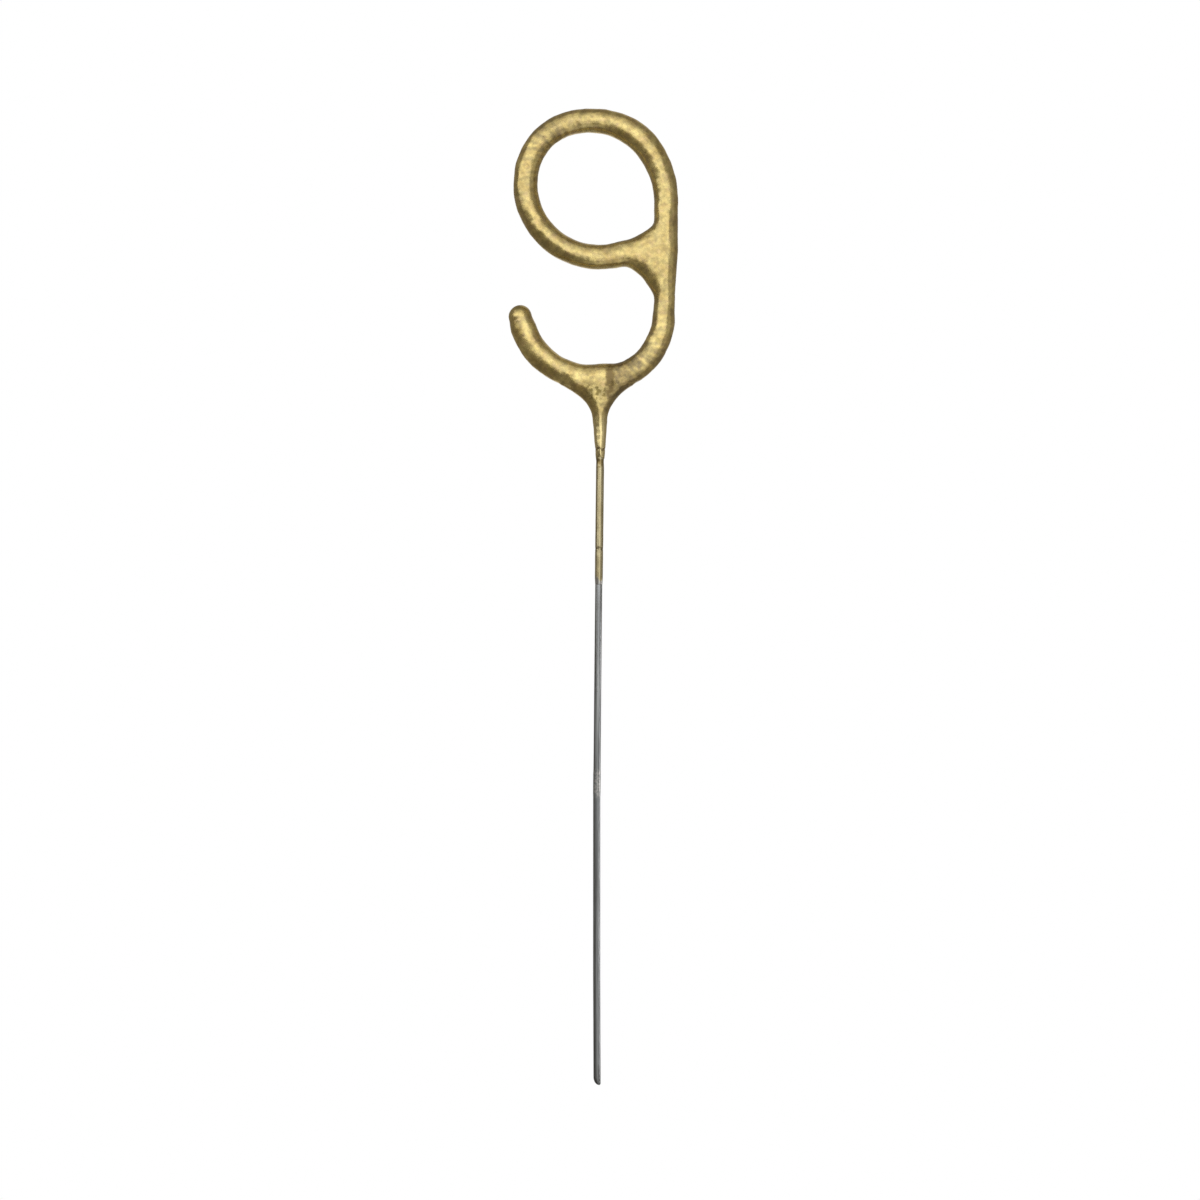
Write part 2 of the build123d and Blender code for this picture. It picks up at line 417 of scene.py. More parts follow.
def coat_outline(points):
    """Outline field of the whole coat, its half width and half depth, and the arc length and left offset."""
    tubes = [tube_field(line, points) for line in (tail_line, crown_line, loop_line)]
    fields, half_widths, alongs, lefts = (np.array(values) for values in zip(*tubes))
    nearest = fields.argmin(axis=0)
    along, left = np.choose(nearest, alongs), np.choose(nearest, lefts)
    share = np.exp((fields.min(axis=0) - fields) / WIDTH_BLEND)
    half_width = (share * half_widths).sum(axis=0) / share.sum(axis=0)
    web, web_share = web_field(points)
    closing = soft_union(fields[2], web, 0, INNER_BLEND * web_share)
    x, z = points.real, points.imag
    above_foot = np.clip((z - WEB_FOOT) / WEB_FOOT_FADE, 0, 1)
    upright = soft_union(fields[1], web, BLEND, INNER_BLEND * above_foot)
    field = np.minimum(fields[0], np.minimum(upright, closing))
    over_joint = np.clip((z - JOINT_HEIGHT) / MOUND_FULL, 0, 1) * (z < JOINT_HEIGHT + MOUND_END)
    field = field - MOUND_RISE * bell(x - MOUND_X, MOUND_SPREAD) * over_joint
    half_depth = np.minimum(half_width, COAT_HALF_DEPTH)
    flare, flare_depth = flare_field(points)
    to_flare = eased(np.clip(0.5 + (field - flare) / DEPTH_BLEND, 0, 1))
    half_width = half_width + (flare_depth - half_width) * to_flare
    half_depth = half_depth + (flare_depth - half_depth) * to_flare
    half_depth = half_depth - VALLEY_DEPTH * valley_share(points)
    return soft_union(field, flare), half_width, half_depth, along, left


def coat_shell(points):
    """How far points of the numeral's plane lie across the coat, and its half depth there."""
    field, half_width, half_depth, _, _ = coat_outline(points)
    return half_depth * np.maximum(1 + field / half_width, 0), half_depth


# Meshes

def surface_net(field, origin, step):
    """Vertices and quads of the zero surface of a sampled field."""
    inside = field < 0
    shape = tuple(n - 1 for n in field.shape)
    total = np.zeros(shape + (3,))
    count = np.zeros(shape)
    for axis in range(3):
        for u in (0, 1):
            for v in (0, 1):
                near = [0, 0, 0]
                near[(axis + 1) % 3], near[(axis + 2) % 3] = u, v
                far = list(near)
                far[axis] = 1
                a = field[tuple(slice(k, k + n) for k, n in zip(near, shape))]
                b = field[tuple(slice(k, k + n) for k, n in zip(far, shape))]
                crossed = (a < 0) != (b < 0)
                share = np.where(crossed, a / np.where(crossed, a - b, 1), 0)
                for k in range(3):
                    total[..., k] += crossed * (share if k == axis else near[k])
                count += crossed
    cells = np.argwhere(count > 0)
    index = np.full(shape, -1)
    index[count > 0] = np.arange(len(cells))
    vertices = origin + step * (cells + total[count > 0] / count[count > 0][:, None])
    quads = []
    for axis in range(3):
        order = (axis, (axis + 1) % 3, (axis + 2) % 3)
        ids = index.transpose(order)
        solid = inside.transpose(order)[:, 1:-1, 1:-1]
        for leaving in (True, False):
            i, j, k = np.nonzero((solid[:-1] == leaving) & (solid[1:] != leaving))
            ring = [ids[i, j, k], ids[i, j + 1, k], ids[i, j + 1, k + 1], ids[i, j, k + 1]]
            quads.append(np.stack(ring if leaving else ring[::-1], axis=1))
    return vertices, np.concatenate(quads)


def relaxed(vertices, quads, rounds):
    """Vertices moved half way to their neighbours' mean in each round, which evens out the grid's steps."""
    ends = np.concatenate([quads[:, [k, (k + 1) % 4]] for k in range(4)])
    degree = np.bincount(ends[:, 0], minlength=len(vertices))[:, None]
    for _ in range(rounds):
        mean = np.stack(
            [np.bincount(ends[:, 0], vertices[ends[:, 1], k], len(vertices)) for k in range(3)], axis=1
        )
        vertices = vertices + 0.5 * (mean / degree - vertices)
    return vertices


def settled(vertices, inset):
    """Vertices moved on to the exact surface of the coat."""

    def value(v):
        across, half_depth = coat_shell(v[:, 0] + 1j * v[:, 2])
        return np.maximum(np.hypot(across, v[:, 1]) - half_depth + inset, DRIP_TIP + inset - v[:, 2])

    for _ in range(SETTLE_ROUNDS):
        here = value(vertices)
        nudged = [value(vertices + SETTLE_NUDGE * axis) for axis in np.eye(3)]
        slope = np.stack([(there - here) / SETTLE_NUDGE for there in nudged], axis=1)
        steepness = np.maximum((slope**2).sum(1), LEAST_STEEPNESS)
        vertices = vertices - slope * (np.clip(here, -SETTLE_LIMIT, SETTLE_LIMIT) / steepness)[:, None]
    return vertices


def normals_of(vertices, quads):
    """Unit normal of each vertex."""
    corners = vertices[quads]
    facing = np.cross(corners[:, 2] - corners[:, 0], corners[:, 3] - corners[:, 1])
    total = np.zeros_like(vertices)
    for k in range(4):
        for axis in range(3):
            total[:, axis] += np.bincount(quads[:, k], facing[:, axis], len(vertices))
    return total / np.linalg.norm(total, axis=1)[:, None]


def sampled_noise(points, seed):
    """Smooth noise at each row of points."""
    shift = Vector([seed * step for step in NOISE_SHIFT])
    return np.array([noise.noise(Vector(p) + shift) for p in points])


def coat_ripple(points, along, around):
    """Slanting ripples across the coat, from -1 to 1, where the dip dried in them."""
    slant = along + RIPPLE_SLANT * around
    places = np.stack([slant / RIPPLE_LENGTH, around / RIPPLE_BREADTH, 0 * along], axis=1)
    rippled = sum(bell(abs(points - place), spread) for place, spread in RIPPLED)
    return sampled_noise(places, RIPPLE_SEED) * rippled


def coat_relief(vertices, ripple):
    """Height of the lumps, grit and ripples of the coat, in millimetres."""
    lumps = sampled_noise(vertices / LUMP_SIZE, LUMP_SEED)
    grit = sampled_noise(vertices / GRIT_SIZE, GRIT_SEED)
    return LUMP_HEIGHT * lumps + GRIT_HEIGHT * grit + RIPPLE_HEIGHT * ripple


def mesh_object(name, vertices, faces):
    """Smooth-shaded object from vertices in millimetres that rides on the part."""
    data = bpy.data.meshes.new(name)
    data.from_pydata((np.asarray(vertices) * MM).tolist(), [], [list(map(int, f)) for f in faces])
    data.update()
    data.shade_smooth()
    obj = bpy.data.objects.new(name, data)
    bpy.context.scene.collection.objects.link(obj)
    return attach(obj, "root")


def coat_surface(inset, step):
    """Vertices and quads of the coat's surface, moved inwards by the inset."""
    low, high = (np.array(corner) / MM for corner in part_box("gold_skin"))
    low, high = low - GRID_MARGIN * step, high + GRID_MARGIN * step
    x, y, z = (np.arange(a, b, step) for a, b in zip(low, high))
    across, half_depth = coat_shell(x[:, None] + 1j * z[None, :])
    volume = np.hypot(across[:, None, :], y[None, :, None]) - (half_depth - inset)[:, None, :]
    volume = np.maximum(volume, (DRIP_TIP + inset - z)[None, None, :])
    vertices, quads = surface_net(volume, np.array([x[0], y[0], z[0]]), step)
    return settled(relaxed(vertices, quads, RELAX_ROUNDS), inset), quads


def gold_coat():
    """Painted outer surface of the dipped numeral."""
    vertices, quads = coat_surface(0.0, GRID_STEP)
    points = vertices[:, 0] + 1j * vertices[:, 2]
    _, _, _, along, left = coat_outline(points)
    around = AROUND_RADIUS * np.arctan2(left, -vertices[:, 1])
    ripple = coat_ripple(points, along, around)
    valley = valley_share(points)
    tip = bell(abs(points - tail_line[-1].end), SMOOTH_TIP)
    relief = coat_relief(vertices, ripple) * (1 - SMOOTHING * np.maximum(valley, tip))
    vertices = vertices + normals_of(vertices, quads) * relief[:, None]
    low, high = (np.array(corner) / MM for corner in cad_box)
    coat = mesh_object("gold_coat", np.clip(vertices, low, high), quads)
    for name, values in (("relief", relief), ("ripple", ripple), ("valley", valley)):
        attribute = coat.data.attributes.new(name, "FLOAT", "POINT")
        attribute.data.foreach_set("value", values.astype(np.float32))
    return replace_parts(coat, "gold_skin")


def composition_coat():
    """Pressed composition under the paint, on a grid twice as coarse."""
    vertices, quads = coat_surface(PAINT_THICKNESS, 2 * GRID_STEP)
    coat = mesh_object("composition_coat", vertices, quads)
    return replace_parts(coat, "second_dip_coat")


def turned_bar(rings):
    """Vertices and faces of a closed bar through rings of (centre x, height, half width, half depth)."""
    angles = np.arange(BAR_SIDES) * 2 * math.pi / BAR_SIDES
    vertices, faces = [], []
    for centre, height, half_width, half_depth in rings:
        across = centre + half_width * np.cos(angles)
        vertices.append(np.stack([across, half_depth * np.sin(angles), np.full(BAR_SIDES, height)], axis=1))
    for row in range(len(rings) - 1):
        for k in range(BAR_SIDES):
            a, b = row * BAR_SIDES + k, row * BAR_SIDES + (k + 1) % BAR_SIDES
            faces.append((a, b, b + BAR_SIDES, a + BAR_SIDES))
    faces.append(tuple(range(BAR_SIDES))[::-1])
    faces.append(tuple(range((len(rings) - 1) * BAR_SIDES, len(rings) * BAR_SIDES)))
    return np.concatenate(vertices), faces


def bow(height):
    """How far the stem lies to the right of its axis."""
    return np.interp(height, BOW_HEIGHTS, BOW_OFFSETS)


def pinch_flat(height):
    """How much wider and shallower the pinch of the dipping rack made the stem."""
    into = np.clip((height - PINCH_BOTTOM) / PINCH_RAMP, 0, 1)
    out = np.clip((PINCH_TOP - height) / PINCH_RAMP, 0, 1)
    return PINCH_FLAT * eased(into * out)


def stem_ring(height):
    """Ring of the bare wire at a height."""
    right = TIP_X + (WIRE_RADIUS - TIP_X) * quarter_round(height / TIP_RIGHT_HEIGHT)
    left = -TIP_X + (WIRE_RADIUS + TIP_X) * quarter_round(height / TIP_LEFT_HEIGHT)
    half_width = max(TIP_HALF_WIDTH, (right + left) / 2)
    half_depth = min(WIRE_RADIUS, half_width) - STEM_INSET
    flat = pinch_flat(height)
    return bow(height) + (right - left) / 2, height, half_width + flat, half_depth - flat


def stem():
    """Bare drawn wire with its slanted tip and the pinch mark."""
    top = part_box("stem_wire")[1].z / MM
    spans = STEM_SPANS + [(UPPER_STEM_BOTTOM, top, UPPER_STEM_RINGS)]
    heights = np.concatenate([np.linspace(*span) for span in spans])
    vertices, faces = turned_bar([stem_ring(height) for height in heights])
    obj = mesh_object("stem", vertices, faces)
    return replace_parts(obj, "stem_wire")


def film_ring(height):
    """Ring of the gold film at a height."""
    groove = FILM_RING_DEPTH * bell(height - FILM_RING, FILM_RING_HALF_HEIGHT)
    neck = FILM_NECK_DEPTH * bell(height - FILM_NECK, FILM_NECK_HALF_HEIGHT)
    swell = FILM_SWELL * noise.noise(Vector((0, 0, height / FILM_SWELL_LENGTH)))
    fade = min(1.0, (height - FILM_BOTTOM) / FILM_FADE)
    edge = WIRE_RADIUS + FILM_EDGE_THICKNESS
    radius = edge + (FILM_RADIUS + swell - groove - neck - edge) * fade
    return bow(height), height, radius, radius


def gold_film():
    """Thin run-off of gold paint on the stem, with a ring mark and a worn lower edge."""
    heights = np.linspace(FILM_BOTTOM, DRIP_TIP + FILM_LAP, FILM_RINGS)
    vertices, faces = turned_bar([film_ring(height) for height in heights])
    obj = mesh_object("gold_film", vertices, faces)
    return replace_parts(obj, "stem_gilding")


# Materials

class Shader:
    """Node material on one Principled BSDF, with places and sizes in millimetres."""

    def __init__(self, name, **constants):
        self.material = bpy.data.materials.new(name)
        self.material.use_nodes = True
        self.nodes = self.material.node_tree.nodes
        self.links = self.material.node_tree.links
        self.bsdf = self.nodes["Principled BSDF"]
        in_metres = self.nodes.new("ShaderNodeTexCoord").outputs["Object"]
        in_millimetres = self.nodes.new("ShaderNodeVectorMath")
        in_millimetres.operation = "SCALE"
        in_millimetres.inputs["Scale"].default_value = 1 / MM
        self.links.new(in_metres, in_millimetres.inputs["Vector"])
        self.place = in_millimetres.outputs["Vector"]
        for socket, value in constants.items():
            self.bsdf.inputs[socket.replace("_", " ")].default_value = value

    def noise(self, size, detail=3.0, stretch=1):
        """Noise with features about the given size, stretched a number of times along the stem."""
        mapping = self.nodes.new("ShaderNodeMapping")
        mapping.inputs["Scale"].default_value = (1 / size, 1 / size, 1 / (size * stretch))
        texture = self.nodes.new("ShaderNodeTexNoise")
        texture.inputs["Scale"].default_value = 1.0
        texture.inputs["Detail"].default_value = detail
        texture.inputs["Roughness"].default_value = 0.55
        self.links.new(self.place, mapping.inputs["Vector"])
        self.links.new(mapping.outputs["Vector"], texture.inputs["Vector"])
        return texture.outputs["Fac"]

    def attribute(self, name):
        """A number stored on the mesh."""
        node = self.nodes.new("ShaderNodeAttribute")
        node.attribute_name = name
        return node.outputs["Fac"]

    def place_parts(self):
        """X, Y and Z of the place on the part."""
        node = self.nodes.new("ShaderNodeSeparateXYZ")
        self.links.new(self.place, node.inputs["Vector"])
        return node.outputs

    def spread(self, value, low, high, to_low=0.0, to_high=1.0):
        """A value mapped from one range to another and held inside it."""
        node = self.nodes.new("ShaderNodeMapRange")
        node.interpolation_type = "SMOOTHSTEP"
        limits = {"From Min": low, "From Max": high, "To Min": to_low, "To Max": to_high}
        for socket, number in limits.items():
            node.inputs[socket].default_value = number
        self.links.new(value, node.inputs["Value"])
        return node.outputs["Result"]

    def speckle(self, size, low=0.3, high=0.7, to_low=0.0, to_high=1.0, **kind):
        """Noise of a size, mapped from the range between low and high to another."""
        return self.spread(self.noise(size, **kind), low, high, to_low, to_high)

    def between(self, value, low, high, fade):
        """Share that is 1 between two limits and fades out beyond them."""
        rise = self.spread(value, low - fade, low)
        fall = self.spread(value, high, high + fade, 1.0, 0.0)
        return self.product(rise, fall)

    def mix(self, factor, a, b, kind="MIX"):
        """Colour mixed from two colours, each written out or linked."""
        node = self.nodes.new("ShaderNodeMix")
        node.data_type = "RGBA"
        node.blend_type = kind
        for socket, value in ((node.inputs["Factor"], factor), (node.inputs[6], a), (node.inputs[7], b)):
            if isinstance(value, bpy.types.NodeSocket):
                self.links.new(value, socket)
            else:
                socket.default_value = value if isinstance(value, float) else (*value, 1.0)
        return node.outputs[2]

    def times(self, colour, tint):
        """Colour multiplied by another colour or by a value."""
        return self.mix(1.0, colour, tint, "MULTIPLY")

    def math(self, operation, a, b=0.0):
        """One sum of two values, or of one."""
        node = self.nodes.new("ShaderNodeMath")
        node.operation = operation
        for socket, value in zip(node.inputs, (a, b)):
            if isinstance(value, bpy.types.NodeSocket):
                self.links.new(value, socket)
            else:
                socket.default_value = value
        return node.outputs["Value"]

    def product(self, first, *others):
        """Values multiplied together."""
        for other in others:
            first = self.math("MULTIPLY", first, other)
        return first

    def apart(self, value, middle):
        """How far a value lies from a middle one."""
        return self.math("ABSOLUTE", self.math("SUBTRACT", value, middle))

    def bump(self, height, depth):
        """Relief of the given depth."""
        node = self.nodes.new("ShaderNodeBump")
        node.inputs["Strength"].default_value = 1.0
        node.inputs["Distance"].default_value = depth * MM
        self.links.new(height, node.inputs["Height"])
        self.links.new(node.outputs["Normal"], self.bsdf.inputs["Normal"])

    def feed(self, **sockets):
        """Links outputs to the sockets of the Principled BSDF."""
        for socket, output in sockets.items():
            self.links.new(output, self.bsdf.inputs[socket.replace("_", " ")])
        return self.material


def gold_tones(shader):
    """Mottled gold: two tones, tan and olive patches, flakes, painted light and shade on ripples, painted
    shade in hollows.
    """
    deep_gold, pale_gold = (0.48, 0.345, 0.09), (0.66, 0.525, 0.175)
    tan, olive = (0.58, 0.4, 0.18), (0.36, 0.29, 0.055)
    colour = shader.mix(shader.speckle(2.4, 0.32, 0.68), deep_gold, pale_gold)
    colour = shader.mix(shader.speckle(1.1, 0.5, 0.7, 0.0, 0.5), colour, tan)
    colour = shader.mix(shader.speckle(1.6, 0.52, 0.72, 0.0, 0.55, detail=4.0), colour, olive)
    colour = shader.times(colour, shader.speckle(0.75, 0.34, 0.66, 0.8, 1.12, detail=2.5))
    # Painted highlight and shade: the colour is lighter on ripple crests and darker in their troughs.
    colour = shader.times(colour, shader.spread(shader.attribute("ripple"), -0.4, 0.4, 0.74, 1.18))
    # Painted shade: the colour is darker where the relief is low, in the hollows between lumps.
    return shader.times(colour, shader.spread(shader.attribute("relief"), -0.06, 0.01, 0.84, 1.0))


def dark_tan_share(shader, place, under_loop):
    """Share of darker tan gold: full beside the flare, fading up the bowl, and less on the loop."""
    ragged = shader.math("ADD", place["X"], shader.speckle(1.4, to_low=-DARK_TAN_RAGGED, to_high=DARK_TAN_RAGGED))
    start = shader.spread(ragged, DARK_TAN_START, DARK_TAN_FULL)
    end = shader.spread(ragged, DARK_TAN_FADE, DARK_TAN_END, 1.0, 0.0)
    above_drip = shader.spread(place["Z"], FLARE_BASE + 0.5, FLARE_BASE + 3)
    on_bowl = shader.product(start, end, above_drip, under_loop)
    across = shader.math("SUBTRACT", place["X"], DARK_TAN_SPOT.real)
    up = shader.math("SUBTRACT", place["Z"], DARK_TAN_SPOT.imag)
    square = shader.math("ADD", shader.product(across, across), shader.product(up, up))
    on_loop = shader.spread(shader.math("SQRT", square), 0.0, DARK_TAN_SPOT_REACH, DARK_TAN_SPOT_SHARE, 0.0)
    patches = shader.speckle(0.8, 0.36, 0.62, 0.65, 1.05, detail=4.0)
    return shader.product(shader.math("ADD", on_bowl, on_loop), patches)


def flare_blotches(shader, place):
    """Share of olive blotches on the flare, left of the valley's painted shade."""
    across = shader.between(place["X"], BLOTCH_LEFT, BLOTCH_RIGHT, BLOTCH_FADE)
    up = shader.between(place["Z"], BLOTCH_LOW, BLOTCH_HIGH, BLOTCH_FADE)
    blotch = shader.speckle(0.85, 0.46, 0.58, 0.0, 0.8, detail=4.0)
    return shader.product(blotch, across, up)


def drip_marks(shader, z, colour):
    """Colour with the dark nick and the brown end of the drip."""
    nick_brown, end_brown = (0.2, 0.13, 0.03), (0.26, 0.2, 0.05)
    ragged = shader.math("ADD", z, shader.speckle(0.7, to_low=-0.3, to_high=0.3))
    nick = shader.spread(shader.apart(ragged, DRIP_NICK), 0.1, 0.35, 0.85, 0.0)
    colour = shader.mix(nick, colour, nick_brown)
    end = shader.spread(ragged, DRIP_TIP + 0.3, DRIP_END - 0.1, 0.5, 0.0)
    return shader.mix(end, colour, end_brown)


def gold_paint():
    """Gold paint under a thin binder gloss: paler tail, darker tan places, blotches, painted shade in the
    valley, drip.
    """
    pale_tail_tint, dark_tan_tint = (1.15, 1.16, 1.22), (0.5, 0.46, 0.36)
    blotch_olive, valley_shade_brown, drip_gold = (0.17, 0.13, 0.035), (0.17, 0.12, 0.044), (0.76, 0.64, 0.3)
    shader = Shader(
        "gold_paint",
        Metallic=0.95,
        Specular_Tint=(0.6, 0.48, 0.3, 1.0),
        Coat_Roughness=0.22,
        Coat_IOR=1.75,
    )
    place = shader.place_parts()
    colour = gold_tones(shader)
    under_loop = shader.spread(place["Z"], LOOP_PAINT_LOW, LOOP_PAINT_HIGH, 1.0, 0.0)
    full = shader.product(shader.spread(place["X"], PALE_TAIL_START, PALE_TAIL_END, 1.0, 0.0), under_loop)
    # The gold is paler and brighter on the tail.
    colour = shader.mix(full, colour, shader.times(colour, pale_tail_tint))
    # The gold is darker and tanner beside the flare and at the upper left of the loop.
    colour = shader.mix(dark_tan_share(shader, place, under_loop), colour, shader.times(colour, dark_tan_tint))
    blotches = flare_blotches(shader, place)
    colour = shader.mix(blotches, colour, blotch_olive)
    patchy = shader.speckle(0.9, 0.32, 0.66, 0.5, 1.3, detail=4.0)
    # Painted shade: the valley is coloured dark brown, in patches; its paint there is also less glossy.
    valley_shade = shader.spread(shader.product(shader.attribute("valley"), patchy), 0.1, 0.9)
    colour = shader.mix(valley_shade, colour, valley_shade_brown)
    # Paler gold and lower roughness on the drip below the flare.
    drip_pale_gloss = shader.spread(place["Z"], FLARE_BASE - 2, FLARE_BASE + 2, 0.75, 0.0)
    colour = shader.mix(drip_pale_gloss, colour, drip_gold)
    colour = drip_marks(shader, place["Z"], colour)
    roughness = shader.speckle(0.7, to_low=0.24, to_high=0.32)
    roughness = shader.math("SUBTRACT", roughness, shader.product(drip_pale_gloss, 0.12))
    gloss = shader.spread(shader.math("MAXIMUM", valley_shade, blotches), 0.0, 0.8, 0.9, 0.2)
    shader.bump(shader.noise(0.5, detail=2.0), 0.01)
    return shader.feed(Base_Color=colour, Roughness=roughness, Coat_Weight=gloss)


def film_paint():
    """Thin gold film that lets the grey of the steel through, with dark marks at its ring and its neck."""
    deep_gold, pale_gold = (0.36, 0.305, 0.17), (0.5, 0.445, 0.275)
    ring_brown, neck_brown, worn_grey = (0.1, 0.075, 0.03), (0.2, 0.14, 0.04), (0.42, 0.42, 0.4)
    shader = Shader("gold_film", Metallic=0.9, Specular_Tint=(0.6, 0.52, 0.4, 1.0))
    colour = shader.mix(shader.speckle(0.5, stretch=9), deep_gold, pale_gold)
    place = shader.place_parts()
    ragged = shader.math("ADD", place["Z"], shader.speckle(0.6, to_low=-0.4, to_high=0.4))
    ring = shader.spread(shader.apart(ragged, FILM_RING), 0.0, 0.4, 0.85, 0.0)
    colour = shader.mix(ring, colour, ring_brown)
    neck = shader.spread(shader.apart(ragged, FILM_NECK), 0.4, 0.9, 0.75, 0.0)
    colour = shader.mix(neck, colour, neck_brown)
    slanted = shader.math("ADD", ragged, shader.product(place["X"], 0.5))
    worn = shader.spread(slanted, FILM_EDGE - 0.4, FILM_EDGE + 0.4, 1.0, 0.0)
    colour = shader.mix(worn, colour, worn_grey)
    roughness = shader.speckle(0.6, to_low=0.17, to_high=0.25)
    shader.bump(shader.noise(0.5, detail=2.0), 0.005)
    return shader.feed(Base_Color=colour, Roughness=roughness)


def bare_steel(name):
    """Drawn steel wire with lengthwise streaks, dull patches and scuffs, duller low down and darkened there
    by painted shade.
    """
    dark_steel, pale_steel = (0.285, 0.3, 0.31), (0.5, 0.52, 0.53)
    dull_grey, scuff_grey = (0.24, 0.235, 0.225), (0.33, 0.325, 0.31)
    shader = Shader(name, Metallic=1.0, Specular_Tint=(0.8, 0.8, 0.8, 1.0))
    z = shader.place_parts()["Z"]
    colour = shader.mix(shader.speckle(0.28, stretch=60), dark_steel, pale_steel)
    dull = shader.speckle(1.2, 0.5, 0.75, 0.0, 0.6, detail=4.0, stretch=6)
    colour = shader.mix(dull, colour, dull_grey)
    # Painted shade: the steel's colour darkens towards the lower stem.
    colour = shader.times(colour, shader.spread(z, STEEL_SHADED, STEEL_UNSHADED, 0.45, 1.0))
    from_pinch = shader.apart(z, (PINCH_BOTTOM + PINCH_TOP) / 2)
    near_pinch = shader.spread(from_pinch, SCUFF_FADE, SCUFF_END, 1.0, 0.0)
    scuff = shader.product(near_pinch, shader.speckle(0.35, 0.4, 0.62, detail=4.0))
    colour = shader.mix(scuff, colour, scuff_grey)
    gloss = shader.speckle(0.5, to_low=0.18, to_high=0.28, stretch=12)
    roughness = shader.math("ADD", gloss, shader.spread(z, STEEL_DULL, STEEL_GLOSSY, 0.17, 0.0))
    shader.bump(shader.noise(0.2, detail=2.0, stretch=25), 0.003)
    return shader.feed(Base_Color=colour, Roughness=roughness)


def weld_steel():
    """Dull weld bead with a heat-tinted skin."""
    dark_skin, pale_skin = (0.16, 0.14, 0.13), (0.33, 0.31, 0.3)
    shader = Shader("weld_steel", Metallic=1.0)
    tone = shader.speckle(0.4, 0.35, 0.65)
    colour = shader.mix(tone, dark_skin, pale_skin)
    shader.bump(shader.noise(0.25), 0.05)
    return shader.feed(Base_Color=colour, Roughness=shader.spread(tone, 0, 1, 0.45, 0.65))


def composition(name):
    """Grey pressed powder with bright metal grains."""
    dark_powder, pale_powder, bright_metal = (0.1, 0.095, 0.09), (0.2, 0.19, 0.18), (0.55, 0.54, 0.52)
    shader = Shader(name, Metallic=0.0)
    colour = shader.mix(shader.speckle(0.6, 0.35, 0.65, detail=5.0), dark_powder, pale_powder)
    grain = shader.speckle(0.12, 0.66, 0.72, detail=1.0)
    colour = shader.mix(grain, colour, bright_metal)
    shader.bump(shader.noise(0.2, detail=5.0), 0.06)
    return shader.feed(Base_Color=colour, Roughness=shader.spread(grain, 0, 1, 0.9, 0.5))


def paint(obj, material):
    """Gives an object one material."""
    obj.data.materials.clear()
    obj.data.materials.append(material)


# Stage

def pale_ground(name, colour):
    """Matt pale surface."""
    material = bpy.data.materials.new(name)
    material.use_nodes = True
    bsdf = material.node_tree.nodes["Principled BSDF"]
    bsdf.inputs["Base Color"].default_value = (*colour, 1.0)
    bsdf.inputs["Roughness"].default_value = 0.9
    bsdf.inputs["Specular IOR Level"].default_value = 0.1
    return material


def shown_white(material):
    """The material, which now shows as plain white to the camera and in reflections."""
    nodes, links = material.node_tree.nodes, material.node_tree.links
    path = nodes.new("ShaderNodeLightPath")
    seen = path.outputs["Is Camera Ray"]
    for kind in ("Is Glossy Ray", "Is Transmission Ray"):
        either = nodes.new("ShaderNodeMath")
        either.operation = "MAXIMUM"
        links.new(seen, either.inputs[0])
        links.new(path.outputs[kind], either.inputs[1])
        seen = either.outputs["Value"]
    glow = nodes.new("ShaderNodeEmission")
    glow.inputs["Color"].default_value = (1, 1, 1, 1)
    glow.inputs["Strength"].default_value = 1.0
    pick = nodes.new("ShaderNodeMixShader")
    links.new(seen, pick.inputs["Fac"])
    links.new(nodes["Principled BSDF"].outputs["BSDF"], pick.inputs[1])
    links.new(glow.outputs["Emission"], pick.inputs[2])
    links.new(pick.outputs["Shader"], nodes["Material Output"].inputs["Surface"])
    return material


def sheet(name, corners, material):
    """Flat stage sheet through four corners in metres."""
    data = bpy.data.meshes.new(name)
    data.from_pydata(corners, [], [(0, 1, 2, 3)])
    obj = bpy.data.objects.new(name, data)
    bpy.context.scene.collection.objects.link(obj)
    paint(obj, material)


def softbox(name, azimuth, elevation, distance, width, height, radiance, aim=LAMP_AIM, beam=LAMP_BEAM):
    """Flat lamp that faces a height on the part from a direction round the camera's axis, in degrees."""
    target = Vector((0, 0, aim))
    a, e = math.radians(azimuth), math.radians(elevation)
    back = Vector((math.sin(a) * math.cos(e), -math.cos(a) * math.cos(e), math.sin(e)))
    light = bpy.data.lights.new(name, "AREA")
    light.shape = "RECTANGLE"
    light.size, light.size_y = width, height
    light.energy = radiance * math.pi * width * height
    light.spread = math.radians(beam)
    lamp = bpy.data.objects.new(name, light)
    lamp.location = target + back * distance
    lamp.rotation_mode = "QUATERNION"
    lamp.rotation_quaternion = (-back).to_track_quat("-Z", "Y")
    bpy.context.scene.collection.objects.link(lamp)


def studio():
    """White backdrop, pale floor and soft lamps."""
    left, right = -WALL_HALF_WIDTH, WALL_HALF_WIDTH
    wall_bottom = [(left, WALL_Y, FLOOR_Z), (right, WALL_Y, FLOOR_Z)]
    wall_top = [(right, WALL_Y, WALL_TOP), (left, WALL_Y, WALL_TOP)]
    white = shown_white(pale_ground("backdrop_white", (0.8, 0.8, 0.8)))
    sheet("backdrop", wall_bottom + wall_top, white)
    floor_front = [(left, FLOOR_FRONT, FLOOR_Z), (right, FLOOR_FRONT, FLOOR_Z)]
    floor_back = [(right, WALL_Y, FLOOR_Z), (left, WALL_Y, FLOOR_Z)]
    sheet("floor", floor_front + floor_back, pale_ground("floor_pale", (0.8, 0.8, 0.79)))
    for name, lamp in LAMPS.items():
        softbox(name, *lamp)
    softbox("stem_softbox", *STEM_LAMP, aim=STEM_LAMP_AIM, beam=STEM_LAMP_BEAM)


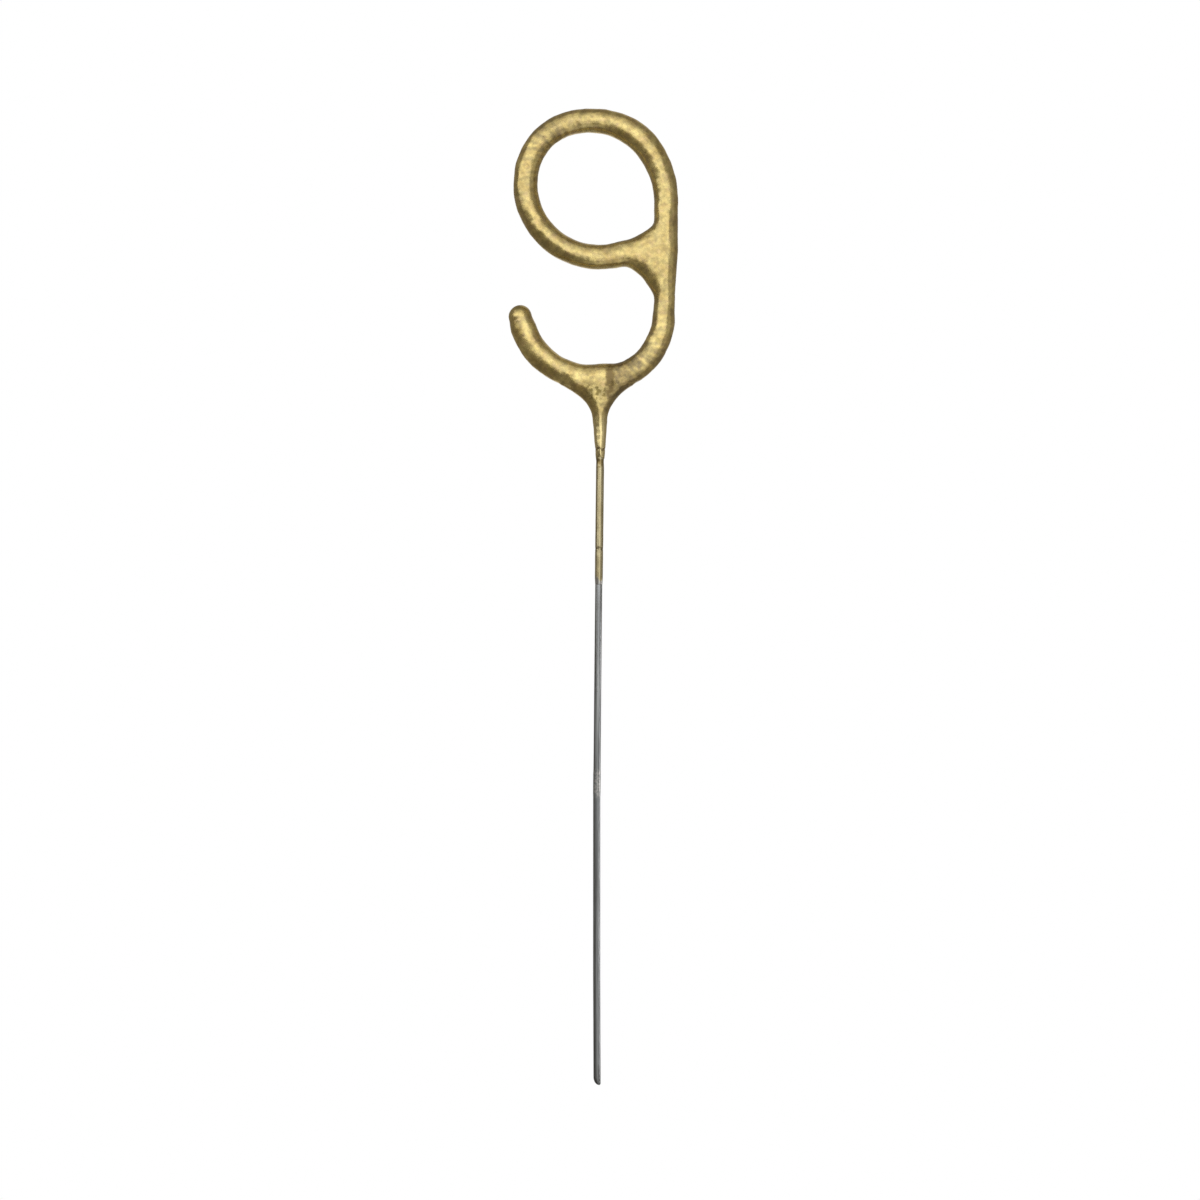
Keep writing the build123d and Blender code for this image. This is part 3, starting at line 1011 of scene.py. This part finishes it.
def room():
    """Dim grey room, darker and browner low down on the left."""
    grey, brown = (0.3, 0.28, 0.255, 1), (0.2, 0.18, 0.152, 1)
    brown_corner = Vector((-0.49, -0.41, -0.77))
    world = bpy.data.worlds.new("room")
    world.use_nodes = True
    nodes, links = world.node_tree.nodes, world.node_tree.links
    direction = nodes.new("ShaderNodeTexCoord").outputs["Generated"]
    towards_corner = nodes.new("ShaderNodeVectorMath")
    towards_corner.operation = "DOT_PRODUCT"
    towards_corner.inputs[1].default_value = brown_corner
    share = nodes.new("ShaderNodeMapRange")
    share.inputs["From Min"].default_value = 0.15
    share.inputs["From Max"].default_value = 0.85
    colour = nodes.new("ShaderNodeMix")
    colour.data_type = "RGBA"
    colour.inputs[6].default_value = grey
    colour.inputs[7].default_value = brown
    links.new(direction, towards_corner.inputs[0])
    links.new(towards_corner.outputs["Value"], share.inputs["Value"])
    links.new(share.outputs["Result"], colour.inputs["Factor"])
    links.new(colour.outputs[2], nodes["Background"].inputs["Color"])
    bpy.context.scene.world = world


def camera():
    """Camera level with the middle of the sparkler, square to the numeral, rolled as the photograph is."""
    lens, sensor = 100.0, 36.0
    place = Vector((0.000279, -0.6074, 0.088386))
    roll = 0.005733
    data = bpy.data.cameras.new("camera")
    data.lens, data.sensor_width = lens, sensor
    data.clip_start, data.clip_end = 0.01, 20.0
    obj = bpy.data.objects.new("camera", data)
    right, up = Vector((1, 0, roll)).normalized(), Vector((-roll, 0, 1)).normalized()
    turned = Matrix((right, up, Vector((0, -1, 0)))).transposed().to_4x4()
    obj.matrix_world = Matrix.Translation(place) @ turned
    bpy.context.scene.collection.objects.link(obj)
    bpy.context.scene.camera = obj


paint(gold_coat(), gold_paint())
paint(composition_coat(), composition("second_composition"))
paint(stem(), bare_steel("stem_steel"))
paint(gold_film(), film_paint())
paint(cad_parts["figure_wire"], bare_steel("figure_steel"))
paint(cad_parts["first_dip_coat"], composition("first_composition"))
weld = weld_steel()
paint(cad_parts["stem_weld"], weld)
paint(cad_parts["loop_weld"], weld)
studio()
room()
camera()
bpy.context.scene.view_settings.view_transform = "Standard"
